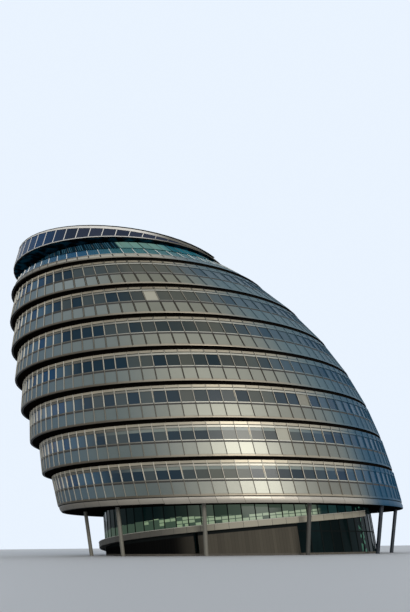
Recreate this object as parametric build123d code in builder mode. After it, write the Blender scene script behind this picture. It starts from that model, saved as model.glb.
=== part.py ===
from build123d import *
from math import acos, ceil, cos, degrees, floor, radians, sin, sqrt
import os

# A leaning, pebble-shaped town hall at half its real size, in millimetres.
# The origin is the centre of the lowest storey ring at plaza level. +Z is up and +X is north,
# away from the lean: each ring's centre stands further south than the one below.

# Storeys of the leaning glass body
storey_height = 2200.0
first_lip = 3310.0
fascia_depth = 395.0
gallery_height = 2025.0

# Outline of the body: the radius at each level follows two half ellipses
belly_radius = 12820.0
belly_level = 8405.0
pebble_rise = 16090.0
pebble_drop = 18240.0

# Lean of the ring centres towards the south, per storey away from the pivot storey
pivot_storey = 4
lean_rate = 907.0
lean_bend = 47.3
lean_twist = 8.24

# Recessed band under each lip, and how far the lip overhangs the facade's head below it: on the
# south side at the top storey, then per storey down. On the north side the head stands proud.
recess_height = 176.0
recess_depth = 50.0
overhang_south = 320.0
overhang_growth = 110.0
overhang_easing = 8.7
head_proud_north = 105.0

# Facade cassettes: wall, window band and joints
cassette_counts = (16, 16, 16, 16, 15, 14, 13)
facade_wall = 110.0
sill_share = 0.485
head_share = 0.835
jamb = 45.0
cassette_joint = 8.0
facets_per_cassette = 6
glass_thickness = 24.0
glass_setback = 30.0

# Floors
floor_thickness = 150.0
soffit_recess = 45.0

# Gallery at the top: parapet, balustrade, set-back glass wall and its posts
gallery_cassettes = 12
parapet_share = 0.21
balustrade_share = 0.50
gallery_inset_south = 465.0
gallery_inset_north = 130.0
gallery_bays = 24
gallery_facets_per_bay = 2
gallery_post = 60.0
gallery_post_depth = 90.0
gallery_setback_south = 1420.0
gallery_setback_north = 120.0

# Crown: a trim round the roof and a screen that tapers away to the north
crown_cassettes = 28
crown_facets_per_cassette = 2
crown_trim = 90.0
crown_wall = 90.0
crown_reach_south = 212.0
crown_reach_north = -107.0
crown_top_radius = 8213.0
crown_top_level = 21475.0
crown_top_shift = 188.0
crown_tilt = 5.4

# Base: a round lobby, centred further north than the body, whose wall leans south
base_centre = 825.0
base_radius = 9680.0
base_lean = 330.0
base_bays = 36
base_facets_per_bay = 2
base_post = 60.0
base_post_depth = 150.0
panel_thickness = 120.0
ground_thickness = 120.0

# Ramp band that climbs round the lobby wall
ramp_width = 440.0
ramp_depth = 346.0
ramp_start = -220.0
ramp_end = -45.0
ramp_datum = 1106.0
ramp_datum_angle = -150.0
ramp_climb = 13.4
ramp_joint = 8.0
panel_end = -80.0
door_centre = -117.9
door_width = 290.0

# Raking columns
column_count = 11
column_first_angle = -145.9
column_diameter = 260.0
column_foot_radius = 10700.0
column_rake = 550.0

# Levels that follow
storey_count = len(cassette_counts)
pivot_level = first_lip + pivot_storey * storey_height
gallery_level = first_lip + storey_count * storey_height
crown_level = gallery_level + gallery_height
fascia_level = first_lip - fascia_depth
soffit_level = fascia_level + soffit_recess
full_turn = 360.0
south = 180.0
corner_slack = 0.001


def lean(level):
    """How far south of the pivot storey's centre a ring's centre stands."""
    storeys = (level - pivot_level) / storey_height
    return lean_rate * storeys + lean_bend * storeys**2 + lean_twist * storeys**3


def body_ring(level):
    """Level, centre and radius of the body's outline."""
    reach = pebble_rise if level > belly_level else pebble_drop
    radius = belly_radius * sqrt(1 - ((level - belly_level) / reach) ** 2)
    return level, lean(first_lip) - lean(level), radius


def set_back_ring(ring, south_depth, north_depth):
    """A ring drawn in by different depths on its south and north sides."""
    level, centre, radius = ring
    shift = (south_depth - north_depth) / 2
    return level, centre + shift, radius - (south_depth + north_depth) / 2


def inset(ring, depth):
    """The same ring, drawn in by a depth."""
    return set_back_ring(ring, depth, depth)


def head_ring(lip_level):
    """The ring of a facade's head, at the foot of the recess under the lip at this level."""
    storeys_down = (gallery_level - lip_level) / storey_height
    overhang = overhang_south + overhang_growth * storeys_down - overhang_easing * storeys_down**2
    level, centre, radius = set_back_ring(body_ring(lip_level), overhang, -head_proud_north)
    return level - recess_height, centre, radius


def between(low, high, share):
    """The ring that lies a share of the way up a straight wall."""
    return tuple(a + (b - a) * share for a, b in zip(low, high))


def at_level(low, high, level):
    """The ring where a straight wall passes a level."""
    return between(low, high, (level - low[0]) / (high[0] - low[0]))


def arc_angle(length, radius):
    """The angle in degrees of an arc's length."""
    return degrees(length / radius)


def facet_reach(radius, angle, facets, first=south):
    """How far a regular polygon reaches at an angle, when its corners lie on the radius."""
    half = full_turn / facets / 2
    beyond = (angle - first) % (2 * half) - half
    return radius * cos(radians(half)) / cos(radians(beyond))


def ring_point(ring, angle, facets):
    """A point of a faceted ring, in the plane of the ring."""
    level, centre, radius = ring
    reach = facet_reach(radius, angle, facets)
    return centre + reach * cos(radians(angle)), reach * sin(radians(angle))


def stretch(start, end, facets, first=south):
    """The angles of a stretch of faceted wall: its two ends and the corners between them."""
    pitch = full_turn / facets
    corner = first + pitch * (floor((start - first) / pitch + corner_slack) + 1)
    angles = [start]
    while corner < end - corner_slack * pitch:
        angles.append(corner)
        corner += pitch
    return [*angles, end]


def disc(facets, *rings):
    """A floor whose faceted edge passes through the rings."""
    angles = stretch(south, south + full_turn, facets)[:-1]
    with BuildPart() as plate:
        for low, high in zip(rings, rings[1:]):
            for ring in (low, high):
                with BuildSketch(Plane.XY.offset(ring[0])):
                    with BuildLine():
                        Polyline(*[ring_point(ring, angle, facets) for angle in angles], close=True)
                    make_face()
            loft(ruled=True)
    return plate.part


def wall_piece(low, high, depth, start, sweep, facets, top_plane=None):
    """A stretch of leaning, faceted wall between two rings, its depth measured inwards.

    With a top plane, the upper ring lies on that plane and its level is not used.
    """
    angles = stretch(start, start + sweep, facets)
    with BuildPart() as piece:
        for ring, plane in ((low, None), (high, top_plane)):
            outer = [ring_point(ring, angle, facets) for angle in angles]
            inner = [ring_point(inset(ring, depth), angle, facets) for angle in reversed(angles)]
            with BuildSketch(plane or Plane.XY.offset(ring[0])):
                with BuildLine():
                    Polyline(*outer, *inner, close=True)
                make_face()
        loft(ruled=True)
    return piece.part


def starts(count):
    """The angles where a ring of equal cassettes starts, counted from the south."""
    return [south + full_turn * index / count for index in range(count)]


def cassette_ring(low, high, depth, count, facets_each):
    """All the plain cassettes between two rings, a joint apart."""
    joint = arc_angle(cassette_joint, low[2])
    sweep = full_turn / count - joint
    return [
        wall_piece(low, high, depth, start + joint / 2, sweep, count * facets_each)
        for start in starts(count)
    ]


def export(piece, name):
    """Label a finished piece and write it."""
    piece.part.label = name
    export_step(piece.part, f"parts/{name}.step")


os.makedirs("parts", exist_ok=True)


# Facade storeys: cassettes with the window band cut through, and their panes

def window_piece(low, high, outer_inset, depth, start, sweep, facets):
    """A stretch of the window band, cut out of the wall or filled with glass."""
    sill = inset(between(low, high, sill_share), outer_inset)
    head = inset(between(low, high, head_share), outer_inset)
    return wall_piece(sill, head, depth, start, sweep, facets)


cut_depth = 3 * facade_wall
for storey, count in enumerate(cassette_counts):
    facets = count * facets_per_cassette
    low = body_ring(first_lip + storey * storey_height)
    high = head_ring(first_lip + (storey + 1) * storey_height)
    joint = arc_angle(cassette_joint, low[2])
    jamb_angle = arc_angle(jamb, low[2])
    sweep = full_turn / count - joint
    window_sweep = sweep - 2 * jamb_angle
    edges = [start + joint / 2 for start in starts(count)]
    cassettes = [wall_piece(low, high, facade_wall, edge, sweep, facets) for edge in edges]
    openings = [
        window_piece(low, high, -facade_wall, cut_depth, edge + jamb_angle, window_sweep, facets)
        for edge in edges
    ]
    panes = [
        window_piece(
            low, high, glass_setback, glass_thickness, edge + jamb_angle, window_sweep, facets
        )
        for edge in edges
    ]
    with BuildPart() as facade:
        add(cassettes)
        add(openings, mode=Mode.SUBTRACT)
    export(facade, f"facade_{storey + 1}")
    with BuildPart() as windows:
        add(panes)
    export(windows, f"windows_{storey + 1}")


# Floors: each fills its ring out to the inside of the cassettes. Its lower part, which shows as
# the recessed band under a lip, rests on the head of the facade below.

def floor_rings(level, high):
    """The lower and upper edge of a floor that starts at a level, inside the wall above it."""
    low = inset(body_ring(level), facade_wall)
    return low, at_level(low, inset(high, facade_wall), level + floor_thickness)


def stepped_floor(level, high, facets):
    """A floor at a level, with its recessed lower part on the storey below."""
    recess_low = inset(head_ring(level), recess_depth)
    recess_high = (level, *recess_low[1:])
    storey_below = round((level - first_lip) / storey_height) - 1
    facets_below = cassette_counts[storey_below] * facets_per_cassette
    return [
        disc(facets_below, recess_low, recess_high),
        disc(facets, *floor_rings(level, high)),
    ]


for storey in range(1, storey_count):
    level = first_lip + storey * storey_height
    facets = cassette_counts[storey] * facets_per_cassette
    slab = stepped_floor(level, head_ring(level + storey_height), facets)
    with BuildPart() as office_floor:
        add(slab)
    export(office_floor, f"floor_{storey + 1}")


# Fascia ring under the lowest storey, and the thick floor that spans the overhang

fascia_low = body_ring(fascia_level)
fascia_high = body_ring(first_lip)
fascia_pieces = cassette_ring(
    fascia_low, fascia_high, facade_wall, cassette_counts[0], facets_per_cassette
)
with BuildPart() as fascia:
    add(fascia_pieces)
export(fascia, "fascia_ring")

soffit_ring = inset(at_level(fascia_low, fascia_high, soffit_level), facade_wall)
transfer_slab = disc(
    cassette_counts[0] * facets_per_cassette,
    soffit_ring,
    *floor_rings(first_lip, head_ring(first_lip + storey_height)),
)
with BuildPart() as transfer_floor:
    add(transfer_slab)
export(transfer_floor, "floor_1")


# Gallery: deck, parapet, balustrade, set-back glass wall with posts

gallery_low = body_ring(gallery_level)
gallery_high = set_back_ring(body_ring(crown_level), gallery_inset_south, gallery_inset_north)
crown_ring = set_back_ring(body_ring(crown_level), -crown_reach_south, -crown_reach_north)
parapet_top = between(gallery_low, gallery_high, parapet_share)
balustrade_top = between(gallery_low, gallery_high, balustrade_share)

parapet_pieces = cassette_ring(
    gallery_low, parapet_top, facade_wall, gallery_cassettes, facets_per_cassette
)
with BuildPart() as parapet:
    add(parapet_pieces)
export(parapet, "gallery_parapet")

glass_low = inset(parapet_top, glass_setback)
glass_high = inset(balustrade_top, glass_setback)
balustrade_pieces = cassette_ring(
    glass_low, glass_high, glass_thickness, gallery_cassettes, facets_per_cassette
)
with BuildPart() as balustrade:
    add(balustrade_pieces)
export(balustrade, "gallery_balustrade")

deck_slab = stepped_floor(gallery_level, gallery_high, gallery_cassettes * facets_per_cassette)
with BuildPart() as deck:
    add(deck_slab)
export(deck, "gallery_deck")


deck_top = gallery_level + floor_thickness
south_face = crown_ring[1] - crown_ring[2] + gallery_setback_south
gallery_wall_high = set_back_ring(crown_ring, gallery_setback_south, gallery_setback_north)
deck_edge = at_level(gallery_low, gallery_high, deck_top)
gallery_wall_low = set_back_ring(
    deck_edge,
    south_face - (deck_edge[1] - deck_edge[2]),
    facade_wall + gallery_setback_north,
)
post_angle = arc_angle(gallery_post, gallery_wall_high[2])
gallery_pitch = full_turn / gallery_bays
gallery_facets = gallery_bays * gallery_facets_per_bay
post_pieces = [
    wall_piece(
        gallery_wall_low,
        gallery_wall_high,
        gallery_post_depth,
        start - post_angle / 2,
        post_angle,
        gallery_facets,
    )
    for start in starts(gallery_bays)
]
with BuildPart() as gallery_posts:
    add(post_pieces)
export(gallery_posts, "gallery_posts")

glass_pieces = [
    wall_piece(
        inset(gallery_wall_low, glass_setback),
        inset(gallery_wall_high, glass_setback),
        glass_thickness,
        start + post_angle / 2,
        gallery_pitch - post_angle,
        gallery_facets,
    )
    for start in starts(gallery_bays)
]
with BuildPart() as gallery_glass:
    add(glass_pieces)
export(gallery_glass, "gallery_glass")


# Crown: roof slab, trim and tapering screen

roof_low = inset(crown_ring, crown_wall)
trim_ring = (crown_ring[0] + crown_trim, *crown_ring[1:])
crown_facets = crown_cassettes * crown_facets_per_cassette
roof_slab = disc(crown_facets, roof_low, inset(trim_ring, crown_wall))
with BuildPart() as roof:
    add(roof_slab)
export(roof, "roof_slab")

trim_pieces = cassette_ring(
    crown_ring, trim_ring, crown_wall, crown_cassettes, crown_facets_per_cassette
)
with BuildPart() as trim:
    add(trim_pieces)
export(trim, "crown_trim")

crown_top_centre = (crown_ring[1] + crown_top_shift, 0, crown_top_level)
crown_slope = radians(crown_tilt)
crown_plane = Plane(
    origin=crown_top_centre,
    x_dir=(cos(crown_slope), 0, -sin(crown_slope)),
    z_dir=(sin(crown_slope), 0, cos(crown_slope)),
)
taper_end = (crown_top_level - trim_ring[0]) / (crown_top_radius * sin(crown_slope))
screen_half = degrees(acos(max(-taper_end, -1.0)))
crown_pitch = full_turn / crown_cassettes
screen_count = 2 * floor(screen_half / crown_pitch)
joint = arc_angle(cassette_joint, crown_ring[2])
screen_pieces = [
    wall_piece(
        trim_ring,
        (0, 0, crown_top_radius),
        crown_wall,
        south + (index - screen_count / 2) * crown_pitch + joint / 2,
        crown_pitch - joint,
        crown_facets,
        crown_plane,
    )
    for index in range(screen_count)
]
with BuildPart() as screen:
    add(screen_pieces)
export(screen, "crown_screen")


# Base: the lobby wall stands on the ground slab and leans south as it rises

base_facets = base_bays * base_facets_per_bay


def base_point(angle, level, outwards=0.0):
    """A point of the lobby wall's face, or outwards from it."""
    turn = radians(angle)
    reach = facet_reach(base_radius + outwards, angle, base_facets, ramp_start)
    centre = base_centre - base_lean * level / soffit_level
    return Vector(centre + reach * cos(turn), reach * sin(turn), level)


def base_strip(start, end, low_edge, high_edge, inner, outer):
    """A strip of the lobby wall between two angles and two edges, which give a level by angle."""
    with BuildPart() as strip:
        for angle in stretch(start, end, base_facets, ramp_start):
            corners = [
                base_point(angle, low_edge(angle), inner),
                base_point(angle, low_edge(angle), outer),
                base_point(angle, high_edge(angle), outer),
                base_point(angle, high_edge(angle), inner),
            ]
            across = corners[1] - corners[0]
            upwards = corners[3] - corners[0]
            section = Plane(origin=corners[0], x_dir=across, z_dir=across.cross(upwards))
            with BuildSketch(section):
                with BuildLine():
                    Polyline(*[section.to_local_coords(corner) for corner in corners], close=True)
                make_face()
        loft(ruled=True)
    return strip.part


def ramp_middle(angle):
    """The level of the ramp band's middle."""
    return ramp_datum + ramp_climb * (angle - ramp_datum_angle)


def ramp_bottom(angle):
    """The level of the ramp band's underside."""
    return max(ramp_middle(angle) - ramp_depth / 2, 0.0)


def ramp_top(angle):
    """The level of the ramp band's top."""
    return ramp_middle(angle) + ramp_depth / 2


def ground_edge(angle):
    """The top of the ground slab."""
    return ground_thickness


def soffit_edge(angle):
    """The underside of the floor over the lobby."""
    return soffit_level


with BuildPart() as ground:
    for level in (0.0, ground_thickness):
        rim = [
            base_point(ramp_start + full_turn * corner / base_facets, level)
            for corner in range(base_facets)
        ]
        with BuildSketch(Plane.XY.offset(level)):
            with BuildLine():
                Polyline(*[(point.X, point.Y) for point in rim], close=True)
            make_face()
    loft(ruled=True)
export(ground, "ground_slab")

base_pitch = full_turn / base_bays
base_post_angle = arc_angle(base_post, base_radius)
base_starts = [ramp_start + index * base_pitch for index in range(base_bays)]
base_post_pieces = [
    base_strip(
        start - base_post_angle / 2,
        start + base_post_angle / 2,
        ground_edge,
        soffit_edge,
        -base_post_depth,
        0.0,
    )
    for start in base_starts
]
with BuildPart() as base_posts:
    add(base_post_pieces)
export(base_posts, "lobby_posts")


def lobby_pane(start, end, low_edge, high_edge):
    """A pane of the lobby's glass."""
    return base_strip(
        start, end, low_edge, high_edge, -glass_setback - glass_thickness, -glass_setback
    )


door_half = arc_angle(door_width, base_radius) / 2
panel_pieces = []
clerestory_pieces = []
lobby_pieces = []
for post in base_starts:
    start = post + base_post_angle / 2
    end = post + base_pitch - base_post_angle / 2
    over_ramp = end < ramp_end
    if over_ramp:
        clerestory_pieces.append(lobby_pane(start, end, ramp_middle, soffit_edge))
    if end < panel_end:
        sides = [(start, end)]
        if start < door_centre < end:
            sides = [(start, door_centre - door_half), (door_centre + door_half, end)]
        for side in sides:
            panel_pieces.append(
                base_strip(*side, ground_edge, ramp_middle, -panel_thickness, 0.0)
            )
    elif over_ramp:
        lobby_pieces.append(lobby_pane(start, end, ground_edge, ramp_middle))
    else:
        lobby_pieces.append(lobby_pane(start, end, ground_edge, soffit_edge))
with BuildPart() as panels:
    add(panel_pieces)
export(panels, "lobby_panels")
with BuildPart() as clerestory:
    add(clerestory_pieces)
export(clerestory, "clerestory_glass")
with BuildPart() as lobby_glass:
    add(lobby_pieces)
export(lobby_glass, "lobby_glass")


# Ramp band, in lengths two bays long, outside the lobby wall

ramp_length_angle = 2 * base_pitch
ramp_joint_angle = arc_angle(ramp_joint, base_radius + ramp_width)
ramp_lengths = ceil((ramp_end - ramp_start) / ramp_length_angle)
ramp_pieces = []
for index in range(ramp_lengths):
    start = ramp_start + index * ramp_length_angle + ramp_joint_angle / 2
    end = min(ramp_start + (index + 1) * ramp_length_angle, ramp_end) - ramp_joint_angle / 2
    ramp_pieces.append(base_strip(start, end, ramp_bottom, ramp_top, 0.0, ramp_width))
with BuildPart() as ramp:
    add(ramp_pieces)
export(ramp, "ramp_band")


# Raking columns between the plaza and the floor over the lobby

def column_section(angle, radius, level):
    """The place of a column's centre on a ring at a level."""
    turn = radians(angle)
    return level, base_centre + radius * cos(turn), radius * sin(turn)


def raking_column(angle):
    """One column that rakes outwards."""
    foot = column_section(angle, column_foot_radius, 0.0)
    head = column_section(angle, column_foot_radius + column_rake, soffit_level)
    with BuildPart() as column:
        for level, x, y in (foot, head):
            with BuildSketch(Plane.XY.offset(level)):
                with Locations((x, y)):
                    Circle(column_diameter / 2)
        loft(ruled=True)
    return column.part


column_pieces = [
    raking_column(column_first_angle + full_turn * index / column_count)
    for index in range(column_count)
]
with BuildPart() as columns:
    add(column_pieces)
export(columns, "raking_columns")
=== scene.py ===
from math import cos, degrees, radians, sin, sqrt

import bmesh
import bpy
from mathutils import Matrix


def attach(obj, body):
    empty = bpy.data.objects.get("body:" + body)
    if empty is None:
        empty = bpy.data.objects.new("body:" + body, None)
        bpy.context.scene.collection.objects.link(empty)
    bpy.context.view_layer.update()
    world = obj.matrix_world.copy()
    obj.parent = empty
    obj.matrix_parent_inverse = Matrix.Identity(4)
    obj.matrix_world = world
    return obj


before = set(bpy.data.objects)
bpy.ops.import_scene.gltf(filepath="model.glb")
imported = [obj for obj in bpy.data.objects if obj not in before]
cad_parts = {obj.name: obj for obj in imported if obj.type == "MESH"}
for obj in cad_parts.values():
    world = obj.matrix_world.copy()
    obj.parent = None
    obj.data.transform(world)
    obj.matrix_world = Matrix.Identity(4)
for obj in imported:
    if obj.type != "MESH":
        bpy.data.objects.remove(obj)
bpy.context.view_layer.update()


# Ground slab
# The lobby stands on a cast concrete slab. Its edge shows below the wall as a low plinth in
# painted shade, and its top is the lobby's floor, power floated and sealed.
class Wire:
    """An output socket. Arithmetic on it adds Math nodes to its tree."""

    def __init__(self, tree, socket=None):
        self.tree = tree
        self.socket = socket

    def node(self, kind, settings=None, inputs=None, out=0):
        """Add any node: its settings first, then the values or links of its sockets."""
        made = self.tree.nodes.new(kind)
        for name, value in (settings or {}).items():
            if name == "stops":
                fill_ramp(made.color_ramp, value)
            else:
                setattr(made, name, value)
        for name, value in (inputs or {}).items():
            if isinstance(value, Wire):
                self.tree.links.new(value.socket, made.inputs[name])
            else:
                made.inputs[name].default_value = value
        return Wire(self.tree, made.outputs[out]) if made.outputs else None

    def maths(self, operation, *values):
        """One Math node."""
        return self.node("ShaderNodeMath", {"operation": operation}, dict(enumerate(values)))

    def __add__(self, other):
        return self.maths("ADD", self, other)

    def __sub__(self, other):
        return self.maths("SUBTRACT", self, other)

    def __mul__(self, other):
        return self.maths("MULTIPLY", self, other)

    def __truediv__(self, other):
        return self.maths("DIVIDE", self, other)

    def __rsub__(self, other):
        return self.maths("SUBTRACT", other, self)

    def __rtruediv__(self, other):
        return self.maths("DIVIDE", other, self)

    def __gt__(self, other):
        return self.maths("GREATER_THAN", self, other)

    def __lt__(self, other):
        return self.maths("LESS_THAN", self, other)

    __radd__ = __add__
    __rmul__ = __mul__


def fill_ramp(ramp, stops):
    """Set a stepped colour ramp's stops, given as positions and colours."""
    ramp.interpolation = "CONSTANT"
    while len(ramp.elements) > 1:
        ramp.elements.remove(ramp.elements[-1])
    for index, (position, colour) in enumerate(stops):
        element = ramp.elements[0] if index == 0 else ramp.elements.new(position)
        element.position = position
        element.color = (*colour, 1.0)


def start_material(name):
    """A new material, with a wire to its tree and the object's own coordinates."""
    material = bpy.data.materials.new(name)
    material.use_nodes = True
    material.node_tree.nodes.clear()
    wire = Wire(material.node_tree)
    return material, wire, wire.node("ShaderNodeTexCoord", out="Object")


def surface(wire, colour, roughness, normal, **constants):
    """Close a material with one Principled surface."""
    inputs = {"Base Color": colour, "Roughness": roughness, "Normal": normal}
    inputs.update({name.replace("_", " "): value for name, value in constants.items()})
    shader = wire.node("ShaderNodeBsdfPrincipled", {}, inputs)
    wire.node("ShaderNodeOutputMaterial", {}, {"Surface": shader})


def blend(factor, first, second):
    """Mix two colours, each a wire or three numbers."""
    first, second = [
        colour if isinstance(colour, Wire) else (*colour, 1.0) for colour in (first, second)
    ]
    inputs = {0: factor, 6: first, 7: second}
    return factor.node("ShaderNodeMix", {"data_type": "RGBA"}, inputs, out=2)


def step_up(value, start, end):
    """A smooth step of a wire, from 0 at the start to 1 at the end."""
    inputs = {"Value": value, "From Min": start, "From Max": end}
    return value.node("ShaderNodeMapRange", {"interpolation_type": "SMOOTHSTEP"}, inputs)


def split(vector):
    """The three parts of a vector."""
    return [vector.node("ShaderNodeSeparateXYZ", {}, {0: vector}, out=axis) for axis in range(3)]


def noise(place, scale, detail=3.0, stretch=None):
    """Noise at a real size, which a stretch can draw out along an axis."""
    if stretch:
        stretched = {0: place, 1: stretch}
        place = place.node("ShaderNodeVectorMath", {"operation": "MULTIPLY"}, stretched)
    return place.node("ShaderNodeTexNoise", {}, {"Vector": place, "Scale": scale, "Detail": detail})


def bump(height, strength, distance=0.004):
    """A bump from a height."""
    inputs = {"Strength": strength, "Distance": distance, "Height": height}
    return height.node("ShaderNodeBump", {}, inputs)


def darker(colour, share):
    """The same colour with less light."""
    return tuple(channel * share for channel in colour)


def facing(wire):
    """How far a face looks up: 1 for a top, -1 for an underside."""
    return split(wire.node("ShaderNodeNewGeometry", out="Normal"))[2]


def concrete(name, colour, edge):
    """Concrete with cloudy tone and fine pores, and painted shade on its edges and undersides."""
    material, wire, place = start_material(name)
    cloud = noise(place, 0.9, 6.0)
    # Painted shade: every face that does not look up takes the darker edge colour.
    painted = blend(noise(place, 2.5), darker(edge, 0.7), edge)
    shade = blend(facing(wire) < 0.5, blend(cloud, darker(colour, 0.72), colour), painted)
    normal = bump(noise(place, 55.0), 0.25)
    surface(wire, shade, 0.62 + cloud * 0.2, normal, Specular_IOR_Level=0.0)
    return material


def dress(node, material):
    """Give a CAD node its finish."""
    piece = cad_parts[node]
    piece.data.materials.clear()
    piece.data.materials.append(material)


dress("ground_slab", concrete("plinth_concrete", (0.30, 0.29, 0.27), (0.11, 0.10, 0.085)))


# Lobby posts and mullions
# The lobby wall hangs between steel posts that lean south with it. Slim dark mullions halve
# each bay, and a transom runs round at door height where the wall is all glass.
soffit_level = 2.96
ground_level = 0.12
lobby_half_bays = 72
lobby_centre = 0.825
lobby_lean = 0.33
lobby_radius = 9.68
ramp_foot = 140.0
panel_end = -80.0
mullion_width = 0.065
mullion_depth = 0.060
mullion_inset = 0.006
door_head = 1.36
transom_height = 0.06
transom_front = 0.01
transom_back = 0.04
transom_steps = 44


def satin_metal(name, colour, roughness=0.36, metallic=0.6, shine=0.5):
    """Satin metal with a faint grain drawn out along its length."""
    material, wire, place = start_material(name)
    grain = noise(place, 4.0, 4.0, (6.0, 6.0, 1.0))
    surface(
        wire, blend(grain, darker(colour, 0.78), colour), roughness + grain * 0.12,
        bump(noise(place, 150.0), 0.05), Metallic=metallic, Specular_IOR_Level=shine,
    )
    return material


def lobby_ring(level, outwards=0.0):
    """Level, centre and radius of the lobby wall, which leans south as it rises."""
    return level, lobby_centre - lobby_lean * level / soffit_level, lobby_radius + outwards


bar_inputs = {
    "Count": ("NodeSocketInt", 96),
    "Low Level": ("NodeSocketFloat", 0.0),
    "Low Centre": ("NodeSocketFloat", 0.0),
    "Low Radius": ("NodeSocketFloat", 1.0),
    "High Level": ("NodeSocketFloat", 1.0),
    "High Centre": ("NodeSocketFloat", 0.0),
    "High Radius": ("NodeSocketFloat", 1.0),
    "High Tilt": ("NodeSocketFloat", 0.0),
    "Width": ("NodeSocketFloat", 0.05),
    "Depth": ("NodeSocketFloat", 0.05),
    "Shortest": ("NodeSocketFloat", 0.0),
    "Material": ("NodeSocketMaterial", None),
}


def leaning_bars_tree():
    """A tree that stands one bar on each corner of a ring and leans it to a higher ring."""
    tree = bpy.data.node_groups.new("leaning_bars", "GeometryNodeTree")
    for name, (kind, value) in bar_inputs.items():
        socket = tree.interface.new_socket(name, in_out="INPUT", socket_type=kind)
        if value is not None:
            socket.default_value = value
    tree.interface.new_socket("Geometry", in_out="OUTPUT", socket_type="NodeSocketGeometry")
    wire = Wire(tree)
    group = tree.nodes.new("NodeGroupInput")
    given = {name: Wire(tree, group.outputs[name]) for name in bar_inputs}
    circle = wire.node("GeometryNodeMeshCircle", {}, {"Vertices": given["Count"], "Radius": 1.0})
    capture = tree.nodes.new("GeometryNodeCaptureAttribute")
    capture.capture_items.new("VECTOR", "Outward")
    tree.links.new(circle.socket, capture.inputs[0])
    tree.links.new(wire.node("GeometryNodeInputPosition").socket, capture.inputs[1])
    points, outward = [Wire(tree, capture.outputs[index]) for index in (0, 1)]
    along_x, along_y, _ = split(outward)

    def ring_place(end, tilt):
        reach = along_x * given[f"{end} Radius"]
        parts = {
            0: given[f"{end} Centre"] + reach * wire.maths("COSINE", tilt),
            1: along_y * given[f"{end} Radius"],
            2: given[f"{end} Level"] - reach * wire.maths("SINE", tilt),
        }
        return wire.node("ShaderNodeCombineXYZ", {}, parts)

    foot = ring_place("Low", 0.0)
    head = ring_place("High", given["High Tilt"])
    along = wire.node("ShaderNodeVectorMath", {"operation": "SUBTRACT"}, {0: head, 1: foot})
    length = wire.node("ShaderNodeVectorMath", {"operation": "LENGTH"}, {0: along}, out="Value")
    standing = wire.node("GeometryNodeSetPosition", {}, {"Geometry": points, "Position": foot})
    too_short = split(along)[2] < given["Shortest"]
    kept = wire.node(
        "GeometryNodeDeleteGeometry", {"domain": "POINT"},
        {"Geometry": standing, "Selection": too_short},
    )
    upright = wire.node("FunctionNodeAlignRotationToVector", {"axis": "Z"}, {"Vector": along})
    turned = wire.node(
        "FunctionNodeAlignRotationToVector", {"axis": "X", "pivot_axis": "Z"},
        {"Rotation": upright, "Vector": outward},
    )
    bar = wire.node("GeometryNodeMeshCube", {}, {"Size": (1.0, 1.0, 1.0)})
    hung = {"Geometry": bar, "Translation": (-0.5, 0.0, 0.5)}
    bar = wire.node("GeometryNodeTransform", {}, hung)
    size = {0: given["Depth"], 1: given["Width"], 2: length}
    bars = wire.node(
        "GeometryNodeInstanceOnPoints", {},
        {
            "Points": kept, "Instance": bar, "Rotation": turned,
            "Scale": wire.node("ShaderNodeCombineXYZ", {}, size),
        },
    )
    real = wire.node("GeometryNodeRealizeInstances", {}, {"Geometry": bars})
    painted = {"Geometry": real, "Material": given["Material"]}
    wire.node("NodeGroupOutput", {}, {0: wire.node("GeometryNodeSetMaterial", {}, painted)})
    return tree


leaning_bars = leaning_bars_tree()


def place_mesh(name, mesh):
    """An object at the origin for a finished mesh."""
    piece = bpy.data.objects.new(name, mesh)
    bpy.context.scene.collection.objects.link(piece)
    return piece


def grow(name, tree, values):
    """Run a Geometry Nodes tree with its inputs set, and keep the result as a plain mesh."""
    host = place_mesh(f"{name}_host", bpy.data.meshes.new(f"{name}_host"))
    modifier = host.modifiers.new("grow", "NODES")
    modifier.node_group = tree
    for item in tree.interface.items_tree:
        if item.in_out == "INPUT" and item.name in values:
            modifier[item.identifier] = values[item.name]
    graph = bpy.context.evaluated_depsgraph_get()
    mesh = bpy.data.meshes.new_from_object(host.evaluated_get(graph))
    host.modifiers.remove(modifier)
    bpy.data.objects.remove(host)
    mesh.name = name
    return place_mesh(name, mesh)


def fix(piece):
    """Fasten a scene piece to the building."""
    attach(piece, "root")


def ring_bars(name, material, count, low, high, width, depth, tilt=0.0, shortest=0.0):
    """Bars from the corners of one ring to another."""
    values = {
        "Count": count, "High Tilt": tilt, "Width": width, "Depth": depth, "Shortest": shortest,
        "Low Level": low[0], "Low Centre": low[1], "Low Radius": low[2],
        "High Level": high[0], "High Centre": high[1], "High Radius": high[2],
        "Material": material,
    }
    fix(grow(name, leaning_bars, values))


def ring_corner(ring, angle):
    """A corner of a faceted ring."""
    level, centre, radius = ring
    return centre + radius * cos(angle), radius * sin(angle), level


def finish_mesh(name, material, points, faces):
    """Make a mesh with outward faces, dress it and fasten it."""
    mesh = bpy.data.meshes.new(name)
    mesh.from_pydata(points, [], faces)
    mesh.materials.append(material)
    work = bmesh.new()
    work.from_mesh(mesh)
    bmesh.ops.recalc_face_normals(work, faces=work.faces)
    work.to_mesh(mesh)
    work.free()
    fix(place_mesh(name, mesh))


def swept(name, material, sections, closed):
    """A piece whose closed section changes from station to station."""
    sides = len(sections[0])
    points = [point for section in sections for point in section]
    faces = []
    for station in range(len(sections) if closed else len(sections) - 1):
        here = station * sides
        there = (station + 1) % len(sections) * sides
        for side in range(sides):
            after = (side + 1) % sides
            faces.append((here + side, there + side, there + after, here + after))
    if not closed:
        faces.append(tuple(reversed(range(sides))))
        faces.append(tuple(len(points) - sides + side for side in range(sides)))
    finish_mesh(name, material, points, faces)


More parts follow.
